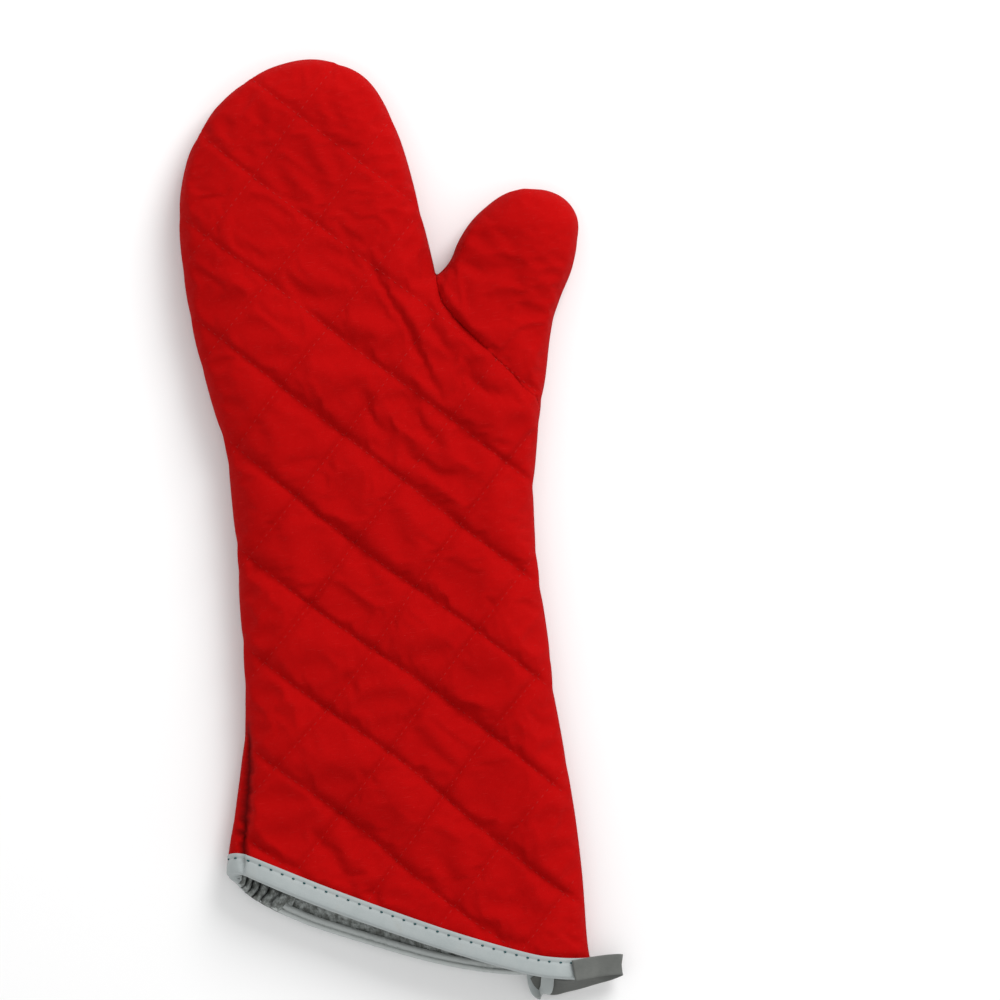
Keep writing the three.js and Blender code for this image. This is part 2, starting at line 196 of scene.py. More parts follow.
def is_inside(points, outline):
    """Which points lie inside a closed outline."""
    inside = np.zeros(len(points), bool)
    for (ax, ay), (bx, by) in zip(outline, np.roll(outline, -1, axis=0)):
        crosses = (ay > points[:, 1]) != (by > points[:, 1])
        with np.errstate(divide="ignore", invalid="ignore"):
            left_of = points[:, 0] < ax + (points[:, 1] - ay) * (bx - ax) / (by - ay)
        inside ^= crosses & left_of
    return inside


def ramp(value, start, end):
    """0 before start, 1 after end, and smooth between them."""
    t = np.clip((value - start) / (end - start), 0, 1)
    return t * t * (3 - 2 * t)


def bell(value, width):
    """1 at 0, with a round top, and next to nothing beyond two widths on either side."""
    return np.exp(-((value / width) ** 2))


def spike(value, reach):
    """1 at 0, with a sharp top, and a long thin tail on either side."""
    return np.exp(-np.abs(value) / reach)


def ripples(points, size, seed, stretch=1.0, angle=0.0):
    """A smooth random field from -1 to 1 or so. Its waves are about size long, and longer by stretch
    along the given direction."""
    random = np.random.default_rng(seed)
    total = np.zeros(len(points))
    turn = math.radians(angle)
    along = points[:, 0] * math.cos(turn) + points[:, 1] * math.sin(turn)
    across = points[:, 1] * math.cos(turn) - points[:, 0] * math.sin(turn)
    waves = 14
    for _ in range(waves):
        heading = random.uniform(0, 2 * math.pi)
        length = size * random.uniform(0.7, 1.5)
        phase = random.uniform(0, 2 * math.pi)
        total += np.sin(
            2 * math.pi * (along * math.cos(heading) / stretch + across * math.sin(heading)) / length + phase
        )
    return total / math.sqrt(waves / 2) / 1.4


# %% [markdown]
# ## Quilting
#
# The quilting lines run both ways across the cloth at 45 degrees, 37 mm apart. Where the panels bend
# round the arm the lines that run down to the thumb's side fold deeply, and the others stay shallow.
# The cloth's points are laid out along the quilting's own two directions, so that every stitched line
# is an exact row of points. That keeps its crease clean, which a plain grid would not.

# %% The quilting grid
PITCH = 37.0
ROWS_PER_PITCH = 14
ROOT_2 = math.sqrt(2)
DEEP_START = 19.5  # place of one deep line, measured square to it from the pattern's start
SHALLOW_START = -63.0  # place of one shallow line, measured the same way
RING_INSET = 1.3  # of a ring of points just inside the outline
OUTLINE_CLEARANCE = 0.85 * STEP + 1.5  # between the outline and the rows of points
LINE_CLEARANCE = 0.6 * STEP  # between a line built into the cloth and the rows of points


def warp(points):
    """Hand-guided quilting lines wander a little."""
    shift = np.stack([ripples(points, 130, 3), ripples(points, 130, 4)], axis=1)
    return points[:, :2] + 1.4 * shift


def quilted(u, v):
    """Pattern points from places across the deep lines and across the shallow lines."""
    return warp(np.stack([(u + v) / ROOT_2, (u - v) / ROOT_2], axis=1))


class Cut:
    """A flat panel cut from the cloth: its points, its faces and where its lines are."""

    def __init__(self, outline, rim, crease, fold=None):
        spacing = PITCH / ROWS_PER_PITCH
        rows = np.arange(-140, 180)
        u, v = np.meshgrid(DEEP_START + rows * spacing, SHALLOW_START + rows * spacing, indexing="ij")
        flat = quilted(u.ravel(), v.ravel())
        near = np.all((flat > outline.min(0)) & (flat < outline.max(0)), axis=1)
        flat, u, v = flat[near], u.ravel()[near], v.ravel()[near]
        keep = is_inside(flat, outline)
        keep[keep] = to_line(flat[keep], outline, closed=True)[0] > OUTLINE_CLEARANCE
        keep[keep] = to_line(flat[keep], crease)[0] > LINE_CLEARANCE
        ring = self.inset(outline, RING_INSET)
        if fold is None:
            fold = np.empty((0, 2))
        else:
            keep[keep] = to_line(flat[keep], fold)[0] > LINE_CLEARANCE
            fold = fold[is_inside(fold, outline) & (to_line(fold, outline, closed=True)[0] > 1.5)]
            ring = ring[to_line(ring, fold)[0] > LINE_CLEARANCE]
        flat = flat[keep]
        border = len(outline)
        verts = np.vstack([outline, crease[1:-1], fold, ring, flat])
        edges = [(i, (i + 1) % border) for i in range(border)]
        at_crotch, at_root = (int(np.argmin(np.hypot(*(outline - crease[k]).T))) for k in (0, -1))
        first = border + len(crease) - 2  # of the fold's points
        crease_ids = [at_crotch, *range(border, first), at_root]
        edges += list(zip(crease_ids, crease_ids[1:]))
        edges += [(i, i + 1) for i in range(first, first + len(fold) - 1)]
        found = delaunay_2d_cdt([Vector(p) for p in verts], edges, [list(range(border))], 1, 1e-4)
        self.points = np.array([p[:] for p in found[0]])
        self.faces = [tuple(face) for face in found[2]]
        self.outline = outline
        self.rim = rim
        self.edge_distance = to_line(self.points, side_seam)[0]
        self.is_border = to_line(self.points, outline, closed=True)[0] < 0.05

    @staticmethod
    def inset(outline, distance):
        """Points a little inside the outline, leaving out the ones that would crowd a corner."""
        tangent = np.roll(outline, -1, axis=0) - np.roll(outline, 1, axis=0)
        normal = np.stack([tangent[:, 1], -tangent[:, 0]], axis=1)
        moved = outline + distance * normal / np.linalg.norm(normal, axis=1)[:, None]
        clear = to_line(moved, outline, closed=True)[0] > 0.8 * distance
        return moved[clear & is_inside(moved, outline)]


# The crease between the palm and the thumb, from the crotch to the thumb's root.
thumb_crease = smooth_line([CROTCH, (51.8, 299.6), (58.3, 288.9), (64.1, 281), (78, 264), THUMB_ROOT], STEP)
thumb_crease[-1] = thumb_edge[np.argmin(np.hypot(*(thumb_edge - THUMB_ROOT).T))]
beyond_crease = np.vstack(
    [[CROTCH[0], CROTCH[1] + 200], thumb_crease, [260, thumb_crease[-1, 1]], [260, 600]]
)

# The seam that has rolled onto the palm's side near the cuff's short corner.
SEAM_FOLD_TOP = 116
seam_fold = smooth_line(
    [(-80.8, 27), (-80.4, 33), (-79.6, 44.6), (-76.4, 60), (-73.2, 74), (-70.6, 90), (-69.4, 101.5),
     (-70, SEAM_FOLD_TOP)],
    STEP / 2,
)  # fmt: skip

palm_cut = Cut(palm_outline, palm_rim, thumb_crease, seam_fold)
back_cut = Cut(back_outline, back_rim, thumb_crease)
print(f"palm cut: {len(palm_cut.points)} points, back cut: {len(back_cut.points)} points")


# %% [markdown]
# ## The shape of a panel
#
# Each panel is a low dome that comes down to the side seam. On top of the dome go the quilting lines
# and the creases that the mitt has picked up in use: a deep one from the crotch where the thumb folds,
# drag lines below it, and a few soft hollows. Each crease is a line with a width and a depth, fading
# out at its ends, so the whole set reads as a short list.

# %% Creases
CREASES = [
    # points, width, depth, height of the roll beside it
    ([(51, 313), (51.8, 299.6), (58.3, 288.9), (64.1, 281), (72, 272), (79, 265)], 2.0, 4.2, 0.8),
    ([(18, 326), (26, 306), (33, 290), (37, 278), (40, 267), (44, 256), (50, 247)], 2.1, 2.8, 1.0),
    ([(50, 309), (44, 296), (47, 284), (55, 270)], 3.5, 1.4, 0.7),
    ([(58, 272), (63, 258), (72, 251), (84, 250)], 3.4, 2.0, 0.8),
    ([(30, 262), (33, 246), (39, 232), (41, 222)], 3.5, 1.6, 0.9),
    ([(22, 236), (28, 226), (40, 216), (58, 208)], 3.5, 2.0, 0.9),
    ([(6, 262), (12, 246), (17, 232), (18, 220)], 4.0, 1.3, 0.6),
    ([(64, 316), (74, 312), (86, 313)], 3.0, 1.0, 0.5),
    ([(-14, 200), (-4, 182), (2, 160)], 4.5, 1.2, 0.7),
    ([(-46, 52), (-38, 40), (-31, 26), (-30, 14)], 3.8, 1.5, 0.8),
    ([(14, 34), (20, 16), (20, 2)], 4.5, 1.0, 0.5),
    ([(46, 30), (50, 8), (57, -12)], 4.5, 1.1, 0.5),
]


def crease_shift(points):
    """The height that the creases add or take away."""
    total = np.zeros(len(points))
    for line, width, depth, roll in CREASES:
        curve = smooth_line(line, 1.5)
        distance, along, side = to_line(points, curve)
        length = np.linalg.norm(np.diff(curve, axis=0), axis=1).sum()
        fade = ramp(along, -1, 0.22 * length) * (1 - ramp(along, 0.62 * length, length + 1))
        total -= fade * depth * bell(distance, width)
        total += fade * roll * bell(distance - 2.3 * width, 1.4 * width) * (0.7 + 0.3 * side)
    return total


def line_distances(points):
    """Distances to the nearest deep and shallow quilting lines."""
    unwarped = 2 * points[:, :2] - warp(points)
    u = (unwarped[:, 0] + unwarped[:, 1]) / ROOT_2 - DEEP_START
    v = (unwarped[:, 0] - unwarped[:, 1]) / ROOT_2 - SHALLOW_START
    return [(place + PITCH / 2) % PITCH - PITCH / 2 for place in (u, v)]


# %% The two surfaces
EDGE_ROUND = 26.0  # width over which the dome comes down to the side seam
FLOOR_GAP = 0.1
RIM_HOLD = 8.5  # width of cloth that the binding holds flat
SEAM_FADE = 20  # length over which the rolled seam dies out


def in_cuff(points):
    """1 at the rim, and 0 from the wrist up."""
    return 1 - ramp(points[:, 1], 40, 165)


def in_thumb(points):
    """1 in the thumb, which isn't quilted, and 0 from its root down."""
    return ramp(points[:, 0], 52, 66) * ramp(points[:, 1], 258, 284)


def quilting_share(points):
    """How much of its full depth the quilting has: less in the fingers, none in the thumb."""
    in_fingers = ramp(points[:, 1], 230, 340)
    beside_crotch = np.exp(-((points[:, 0] - 64) ** 2 + (points[:, 1] - 262) ** 2) / (2 * 24**2))
    return (1 - 0.68 * in_fingers) * (1 - 0.6 * beside_crotch) * (1 - in_thumb(points))


def clear_of_rim(points, rim, ease=5):
    """0 where the binding holds the cloth flat, and 1 beyond it."""
    return ramp(to_line(points, rim)[0], RIM_HOLD, RIM_HOLD + ease)


def seam_fade(points):
    """1 along the rolled seam, and 0 above its end."""
    return 1 - ramp(points[:, 1], SEAM_FOLD_TOP - SEAM_FADE, SEAM_FOLD_TOP)


def dome(edge_distance, crown):
    share = np.clip(edge_distance / EDGE_ROUND, 0, 1)
    return crown * np.sqrt(np.clip(1 - (1 - share) ** 2, 0, 1))


def quilt_shift(points):
    """The depth of the quilting lines below the puffs."""
    deep, shallow = line_distances(points)
    reach = np.where(deep > 0, 2.2, 4.6)  # a deep line is steep on its upper side
    deep_lines = (3.6 + 1.0 * ripples(points, 60, 13)) * spike(deep, reach)
    shallow_lines = (1.5 + 0.8 * ripples(points, 45, 14)) * spike(shallow, 2.2)
    return -quilting_share(points) * (deep_lines + shallow_lines)


def seam_groove(points):
    """The depth of the groove at the rolled seam, and which points lie on the strip beyond it."""
    distance, _, side = to_line(points, seam_fold)
    on_strip = (side > 0) & (points[:, 1] < SEAM_FOLD_TOP)
    beside = np.where(on_strip, 1.0, -0.8 * spike(distance, 5))
    return seam_fade(points) * (4.2 * bell(distance, 0.9) + beside), on_strip


def palm_height(points, edge_distance, smooth=False):
    crown = CROWN - 4.5 * in_cuff(points) - 2 * ramp(points[:, 1], 330, 426)
    base = dome(edge_distance, crown)
    inland = ramp(edge_distance, 0, 12)
    hollows = 1.1 * ripples(points, 90, 11) * inland
    if smooth:
        return SEAM_HEIGHT + base + hollows
    seam, on_strip = seam_groove(points)
    free = clear_of_rim(points, palm_rim)
    details = (quilt_shift(points) + crease_shift(points)) * inland * free - 0.6 * (1 - free)
    return SEAM_HEIGHT + base + hollows + np.where(on_strip, 0, details) - seam


def back_height(points, edge_distance, smooth=False):
    base = dome(edge_distance, SEAM_HEIGHT - 1.4)
    if smooth:
        return SEAM_HEIGHT - base
    free = clear_of_rim(points, back_rim)
    lines = quilt_shift(points) * ramp(edge_distance, 0, 12)
    return np.maximum(SEAM_HEIGHT - base - free * (0.8 * lines + 0.6) + 0.5 * (1 - free), FLOOR_GAP)


# %% [markdown]
# ## Meshes from a cut
#
# A cut turns into a mesh by giving each of its points a height. Each mesh also keeps the flat pattern
# place of every point in an attribute. The materials draw the weave and the slubs from that, so they
# stay on the cloth when the mitt bends, and run on without a break where two pieces meet.

# %% Mesh helpers
scene = bpy.context.scene


def mesh_object(name, points, faces, pattern=None, thumb_faces=None):
    """An object from pattern points in millimetres."""
    mesh = bpy.data.meshes.new(name)
    mesh.from_pydata([tuple(p) for p in in_frame(points)], [], faces)
    keep_pattern(mesh, points if pattern is None else pattern)
    if thumb_faces is not None:
        mesh.polygons.foreach_set("material_index", thumb_faces.astype(np.int32))
    mesh.shade_smooth()
    made = bpy.data.objects.new(name, mesh)
    scene.collection.objects.link(made)
    return made


def keep_pattern(mesh, pattern):
    attribute = mesh.attributes.new("pattern", "FLOAT_VECTOR", "POINT")
    attribute.data.foreach_set("vector", np.asarray(pattern, np.float32).ravel())


def coordinates(mesh):
    values = np.empty(3 * len(mesh.vertices), np.float32)
    mesh.vertices.foreach_get("co", values)
    return values.reshape(-1, 3).astype(float)


def normals(mesh):
    values = np.empty(3 * len(mesh.vertices), np.float32)
    mesh.vertex_normals.foreach_get("vector", values)
    return values.reshape(-1, 3).astype(float)


def pattern_of(mesh):
    values = np.empty(3 * len(mesh.vertices), np.float32)
    mesh.attributes["pattern"].data.foreach_get("vector", values)
    return values.reshape(-1, 3).astype(float)


def set_coordinates(mesh, values):
    mesh.vertices.foreach_set("co", values.astype(np.float32).ravel())
    mesh.update()


def apply_modifiers(made):
    """Turns an object's modifiers into mesh."""
    graph = bpy.context.evaluated_depsgraph_get()
    mesh = bpy.data.meshes.new_from_object(made.evaluated_get(graph), depsgraph=graph)
    made.modifiers.clear()
    made.data = mesh
    return made


def grid_faces(rows, columns, rows_join=False, columns_join=False):
    """Faces between neighbouring rows of points. The last row or column may join the first."""
    faces = []
    for row in range(rows if rows_join else rows - 1):
        for column in range(columns if columns_join else columns - 1):
            low, high = row * columns, (row + 1) % rows * columns
            after = (column + 1) % columns
            faces.append((low + column, low + after, high + after, high + column))
    return faces


def thumb_side_of(points, faces):
    """Which faces lie on the thumb's side of the crease."""
    middles = np.array([points[list(face)][:, :2].mean(0) for face in faces])
    return is_inside(middles, beyond_crease)


# %% [markdown]
# ## Inflating the covers
#
# The simulation holds the seam all round and, more loosely, every quilting line. The cloth between them
# is cut a few hundredths too large, as quilted cloth is once its wadding has pulled the lines
# together. A little pressure then lifts the puffs and leaves small puckers along the stitching.

# %% The cloth simulation
PUFF_FRAMES = 14
CLOTH_EXCESS = 0.045
PRESSURE = 2.6
MOST_PUFF = 5.0  # millimetres that a point may move


def inflate(made, cut, is_palm):
    mesh = made.data
    before = coordinates(mesh)
    points = pattern_of(mesh)
    deep, shallow = line_distances(points)
    hold = np.maximum(bell(deep, 1.6), 0.9 * bell(shallow, 1.4))
    if is_palm:
        for line, width, _, _ in CREASES:
            distance = to_line(points, smooth_line(line, 2))[0]
            hold = np.maximum(hold, 0.7 * bell(distance, 0.6 * width))
        hold = np.maximum(hold, to_line(points, seam_fold)[0] < 2.5)
    hold *= 1 - 0.9 * in_thumb(points)
    hold = np.maximum(hold, 0.3 * ramp(points[:, 1], 300, 350) * (points[:, 0] < CROTCH[0]))
    hold = np.maximum(hold, 1 - ramp(to_line(points, cut.outline, closed=True)[0], 0.1, 3.2))
    hold = np.maximum(hold, 1 - clear_of_rim(points, cut.rim, 4))
    group = made.vertex_groups.new(name="held")
    for index, weight in enumerate(hold):
        if weight > 0.02:
            group.add([index], float(weight), "REPLACE")
    cloth = made.modifiers.new("Cloth", "CLOTH")
    settings = cloth.settings
    settings.quality = 5
    settings.mass = 0.25
    settings.tension_stiffness = settings.compression_stiffness = 18
    settings.shear_stiffness = 8
    settings.bending_stiffness = 0.35
    settings.air_damping = 3
    settings.vertex_group_mass = "held"
    settings.pin_stiffness = 6
    settings.shrink_min = -CLOTH_EXCESS
    settings.use_pressure = True
    settings.uniform_pressure_force = PRESSURE
    settings.effector_weights.gravity = 0
    cloth.collision_settings.use_collision = False
    cloth.collision_settings.use_self_collision = False
    cloth.point_cache.frame_start = 1
    cloth.point_cache.frame_end = PUFF_FRAMES
    for number in range(1, PUFF_FRAMES + 1):
        scene.frame_set(number)
    apply_modifiers(made)
    scene.frame_set(1)
    made.vertex_groups.clear()
    after = coordinates(made.data)
    moved = (after - before) / MM
    distance = np.linalg.norm(moved, axis=1)
    cap = np.minimum(1, MOST_PUFF / np.maximum(distance, 1e-9))
    set_coordinates(made.data, before + moved * cap[:, None] * MM)
    print(f"{made.name}: puffed by {distance.mean():.1f} mm on average and {distance.max():.1f} mm at most")


# %% Fine wrinkles
def fine_wrinkles(points, edge_distance, is_palm):
    """Puckers that run away from the stitching, wrinkles near the crotch, and small dents everywhere."""
    deep, shallow = line_distances(points)
    share = quilting_share(points)
    beside_deep = spike(deep, 6) * (1 - bell(deep, 1.2))
    beside_shallow = spike(shallow, 5) * (1 - bell(shallow, 1.2))
    puckers = 0.32 * beside_deep * ripples(points, 9, 21, 4, 45)
    puckers += 0.2 * beside_shallow * ripples(points, 8, 22, 4, -45)
    busy = np.exp(-((points[:, 0] - 48) ** 2 + (points[:, 1] - 245) ** 2) / (2 * 38**2))
    wrinkles = 0.42 * busy * ripples(points, 15, 23, 3.2, 118)
    dents = 0.1 * ripples(points, 16, 24) + 0.04 * ripples(points, 6.5, 25)
    seam = 0.35 * spike(edge_distance, 7) * ripples(points, 9, 26)
    calm = 1 - 0.5 * ramp(points[:, 1], 290, 345)
    return share * puckers + (wrinkles if is_palm else 0) + calm * dents + seam


# %% Make the two covers
PANEL_CENTRE = np.array([8, 200])
COVER_LIFT = 0.15  # of a cover off the dome that all its layers follow
SCALLOP = 1.2  # how far a stitched line pulls the outline in


def make_cover(name, cut, height, is_palm):
    z = height(cut.points, cut.edge_distance)
    points = np.column_stack([cut.points[:, :2], z + (COVER_LIFT if is_palm else -COVER_LIFT)])
    deep, shallow = line_distances(points)
    scallop = spike(deep, 4) + 0.7 * spike(shallow, 4)
    inward = np.where(cut.is_border, SCALLOP * scallop, 0) * ramp(points[:, 1], 40, 70)
    to_centre = PANEL_CENTRE - points[:, :2]
    points[:, :2] += inward[:, None] * to_centre / np.linalg.norm(to_centre, axis=1)[:, None]
    faces = cut.faces if is_palm else [face[::-1] for face in cut.faces]
    # The pattern's third number marks the rolled seam, where the cotton is painted darker as the fold's
    # shade.
    seam_shade = bell(to_line(points, seam_fold)[0], 0.4) * seam_fade(points)
    pattern = np.column_stack([cut.points[:, :2], seam_shade * is_palm])
    made = mesh_object(name, points, faces, pattern, thumb_side_of(cut.points, cut.faces))
    inflate(made, cut, is_palm)
    subdivide = made.modifiers.new("Subdivide", "SUBSURF")
    subdivide.levels = subdivide.render_levels = 1
    subdivide.boundary_smooth = "PRESERVE_CORNERS"
    apply_modifiers(made)
    mesh = made.data
    pattern = pattern_of(mesh)
    edge_distance = to_line(pattern, side_seam)[0]
    shift = fine_wrinkles(pattern, edge_distance, is_palm) * ramp(edge_distance, 0, 5)
    shift *= ramp(to_line(pattern, cut.outline, closed=True)[0], 0, 3)
    shift *= clear_of_rim(pattern, cut.rim, 4)
    moved = coordinates(mesh) + normals(mesh) * shift[:, None] * MM
    moved[:, 2] = np.maximum(moved[:, 2], FLOOR_GAP * MM)
    set_coordinates(mesh, moved)
    print(f"{name}: {len(mesh.vertices)} vertices")
    return made


palm_cover = make_cover("palm_cover", palm_cut, palm_height, True)
back_cover = make_cover("back_cover", back_cut, back_height, False)

# %% [markdown]
# ## Finishes
#
# Shader maths is easier to read as sums and products than as boxes and wires, so one small class wraps
# a socket and adds a Math node for each operator. The cotton is dyed red with slubs along the weave,
# a little lint and a slow change of tone. The binding's tape is smooth and pale and the loop's is
# darker, the lining has a metallic coat that creasing has cracked, and the wadding is white fluff.

# %% A small language for shader nodes
class Socket:
    """One output socket, on which Python's operators add Math nodes."""

    def __init__(self, tree, socket):
        self.tree = tree
        self.socket = socket

    def math(self, operation, *values):
        return self.tree.node("ShaderNodeMath", {"operation": operation}, dict(enumerate([self, *values])))

    def __add__(self, other):
        return self.math("ADD", other)

    def __sub__(self, other):
        return self.math("SUBTRACT", other)

    def __rsub__(self, other):
        return self.tree.node("ShaderNodeMath", {"operation": "SUBTRACT"}, {0: other, 1: self})

    def __mul__(self, other):
        return self.math("MULTIPLY", other)

    __radd__ = __add__
    __rmul__ = __mul__


class Finish:
    """A material with one shader, built by adding nodes."""

    def __init__(self, name, **shader_values):
        self.material = bpy.data.materials.new(name)
        self.material.use_nodes = True
        self.nodes = self.material.node_tree.nodes
        self.links = self.material.node_tree.links
        self.shader = self.nodes["Principled BSDF"]
        for key, value in shader_values.items():
            self.shader.inputs[key.replace("_", " ")].default_value = value

    def node(self, kind, settings=None, inputs=None, output=0):
        made = self.nodes.new(kind)
        for key, value in (settings or {}).items():
            if key == "stops":
                elements = made.color_ramp.elements
                for index, (place, level) in enumerate(value):
                    element = elements[index] if index < 2 else elements.new(place)
                    element.position = place
                    element.color = (level, level, level, 1)
            else:
                setattr(made, key, value)
        for key, value in (inputs or {}).items():
            if isinstance(value, Socket):
                self.links.new(value.socket, made.inputs[key])
            else:
                made.inputs[key].default_value = value
        return Socket(self, made.outputs[output])

    def pattern(self, stretch=(1, 1, 1)):
        """Places on the flat pattern, in millimetres, squeezed by stretch."""
        place = self.node("ShaderNodeAttribute", {"attribute_name": "pattern"}, output="Vector")
        return self.node("ShaderNodeVectorMath", {"operation": "MULTIPLY"}, {0: place, 1: stretch})

    def mark(self):
        """The pattern's third number, from 0 to 1, which marks cloth where shade or light is painted."""
        return self.node("ShaderNodeSeparateXYZ", {}, {0: self.pattern()}, output="Z")

    def noise(self, place, scale, detail=2.0, roughness=0.5):
        inputs = {"Vector": place, "Scale": scale, "Detail": detail, "Roughness": roughness}
        return self.node("ShaderNodeTexNoise", {}, inputs)

    def stops(self, value, *stops):
        return self.node("ShaderNodeValToRGB", {"stops": stops}, {0: value})

    def blend(self, share, first, second):
        """A colour between two colours."""
        return self.node(
            "ShaderNodeMix", {"data_type": "RGBA"}, {"Factor": share, 6: first, 7: second}, output=2
        )

    def bump(self, height, distance, strength=1.0):
        return self.node(
            "ShaderNodeBump", {}, {"Height": height, "Distance": distance, "Strength": strength}
        )

    def use(self, **sockets):
        for key, value in sockets.items():
            self.links.new(value.socket, self.shader.inputs[key.replace("_", " ")])
        return self.material


# %% Red cotton
def red_cotton():
    finish = Finish("red_cotton", Specular_IOR_Level=0.05)
    place = finish.pattern()
    tone = finish.noise(place, 0.022, 3)
    mottle = finish.noise(place, 0.35, 4, 0.65)
    slubs = finish.stops(finish.noise(finish.pattern((0.16, 2.1, 1)), 1.0, 2), (0.62, 0), (0.74, 1))
    cross_slubs = finish.stops(finish.noise(finish.pattern((2.1, 0.22, 1)), 1.0, 2), (0.66, 0), (0.78, 1))
    lint = finish.stops(finish.noise(place, 1.5, 1), (0.74, 0), (0.79, 1))
    specks = finish.stops(finish.noise(finish.pattern((1.1, 1.3, 1)), 1.0, 2), (0.24, 1), (0.3, 0))
    colour = finish.blend(tone, (0.37, 0.0012, 0.0016, 1), (0.45, 0.0022, 0.0022, 1))
    colour = finish.blend(mottle * 0.55, colour, (0.33, 0.0012, 0.0014, 1))
    colour = finish.blend(slubs * 0.28 + cross_slubs * 0.14, colour, (0.56, 0.018, 0.017, 1))
    colour = finish.blend(specks * 0.35, colour, (0.20, 0.0008, 0.001, 1))
    colour = finish.blend(lint * 0.4, colour, (0.58, 0.05, 0.045, 1))
    colour = finish.blend(finish.mark() * 0.8, colour, (0.04, 0.0006, 0.0008, 1))  # painted shade in the rolled seam
    weave = {"Vector": place, "Scale": 0.75, "Distortion": 1.2}
    weave_up = finish.node("ShaderNodeTexWave", {"bands_direction": "X"}, weave, 1)
    weave_across = finish.node("ShaderNodeTexWave", {"bands_direction": "Y"}, weave, 1)
    height = weave_up * 0.25 + weave_across * 0.25 + mottle * 0.7 + slubs * 0.5
    roughness = 0.86 + mottle * 0.12
    return finish.use(
        Base_Color=colour, Roughness=roughness, Normal=finish.bump(height, 0.00022, 0.6)
    )


# %% Tape, lining, wadding and threads
def pale_tape():
    finish = Finish("pale_tape", Specular_IOR_Level=0.35, Sheen_Weight=0.1)
    place = finish.pattern()
    worn = finish.noise(place, 0.09, 4, 0.6)
    threads = finish.noise(finish.pattern((0.5, 3.0, 1)), 1.0, 2)
    colour = finish.blend(worn, (0.29, 0.33, 0.33, 1), (0.41, 0.44, 0.44, 1))
    colour = finish.blend(finish.stops(worn, (0.56, 0), (0.72, 1)) * 0.35, colour, (0.28, 0.28, 0.25, 1))
    colour = finish.blend(finish.mark(), colour, (0.45, 0.48, 0.47, 1))  # painted light: the inner side, which lies in shade, is made paler
    return finish.use(
        Base_Color=colour, Roughness=0.5 + threads * 0.25, Normal=finish.bump(threads, 0.0002, 0.5)
    )


def loop_tape():
    finish = Finish("loop_tape", Specular_IOR_Level=0.3, Sheen_Weight=0.1)
    worn = finish.noise(finish.pattern(), 0.12, 4, 0.65)
    threads = finish.noise(finish.pattern((0.5, 3.0, 1)), 1.0, 2)
    colour = finish.blend(worn, (0.075, 0.08, 0.075, 1), (0.14, 0.145, 0.135, 1))
    return finish.use(
        Base_Color=colour, Roughness=0.55 + threads * 0.25, Normal=finish.bump(threads, 0.0002, 0.5)
    )


def silver_lining():
    finish = Finish("silver_lining", Specular_IOR_Level=0.5, Metallic=0.35)
    place = finish.pattern()
    cracks = finish.node(
        "ShaderNodeTexVoronoi", {"feature": "DISTANCE_TO_EDGE"}, {"Vector": place, "Scale": 0.22}, 0
    )
    creased = finish.noise(finish.pattern((1, 0.7, 1)), 0.3, 4, 0.65)
    # Painted shade: the coat is coloured darker where its crinkles sink, in the bump's hollows.
    crinkle_shade = finish.stops(creased, (0.4, 1), (0.62, 0))
    colour = finish.blend(crinkle_shade, (0.38, 0.41, 0.40, 1), (0.11, 0.12, 0.11, 1))
    colour = finish.blend(finish.stops(cracks, (0.0, 1), (0.08, 0)) * 0.4, colour, (0.10, 0.10, 0.09, 1))
    colour = finish.blend(finish.mark() * 0.95, colour, (0.01, 0.01, 0.01, 1))  # painted shade deep in a fold
    return finish.use(
        Base_Color=colour,
        Roughness=0.36 + creased * 0.3,
        Normal=finish.bump(cracks * 0.3 + creased, 0.0016, 0.8),
    )


def white_wadding():
    finish = Finish("white_wadding", Specular_IOR_Level=0.1, Sheen_Weight=0.3)
    fluff = finish.noise(finish.pattern(), 0.8, 5, 0.7)
    colour = finish.blend(fluff, (0.62, 0.60, 0.55, 1), (0.80, 0.79, 0.75, 1))
    return finish.use(Base_Color=colour, Roughness=0.9 + fluff * 0.1, Normal=finish.bump(fluff, 0.001, 0.8))


def sewing_thread(name, dark, light):
    finish = Finish(name, Specular_IOR_Level=0.1)
    twist = finish.noise(finish.pattern((2, 2, 2)), 1.5, 2)
    colour = finish.blend(twist, dark, light)
    return finish.use(Base_Color=colour, Roughness=0.6 + twist * 0.2, Normal=finish.bump(twist, 0.0001, 0.6))


COTTON = red_cotton()
TAPE = pale_tape()
LOOP_TAPE = loop_tape()
LINING = silver_lining()
WADDING = white_wadding()
RED_THREAD = sewing_thread("red_thread", (0.26, 0.002, 0.0025, 1), (0.56, 0.022, 0.021, 1))
TEAL_THREAD = sewing_thread("teal_thread", (0.010, 0.045, 0.050, 1), (0.03, 0.10, 0.11, 1))
print("finishes:", [m.name for m in bpy.data.materials if m.use_nodes])

# %% [markdown]
# ## Parting the thumb
#
# The real cover is one piece, but a piece of a posed model can bend across only one joint. So each
# panel is parted along the thumb's crease, where neither part moves, after every shape is final. The
# parts share their edge exactly and the eye sees one cloth.

# %% Baking each part's place into its mesh
CREASE_ALONG = np.array(CROTCH) - np.array(THUMB_ROOT)
CREASE_ALONG = CREASE_ALONG / np.linalg.norm(CREASE_ALONG)


def bend_at_knuckles(made):
    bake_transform(made)


def bend_at_thumb(made):
    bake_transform(made)


def part(made, name, thumb):
    """A copy of an object with only the thumb's faces, or only the others."""
    mesh = made.data
    side = np.empty(len(mesh.polygons), np.int32)
    mesh.polygons.foreach_get("material_index", side)
    points = coordinates(mesh)
    pattern = pattern_of(mesh)
    faces = [tuple(face.vertices) for face, on_thumb in zip(mesh.polygons, side) if bool(on_thumb) == thumb]
    used = np.unique([i for face in faces for i in face])
    place = {int(old): new for new, old in enumerate(used)}
    faces = [tuple(place[i] for i in face) for face in faces]
    return mesh_object(name, points[used] / MM - pattern_start, faces, pattern[used])


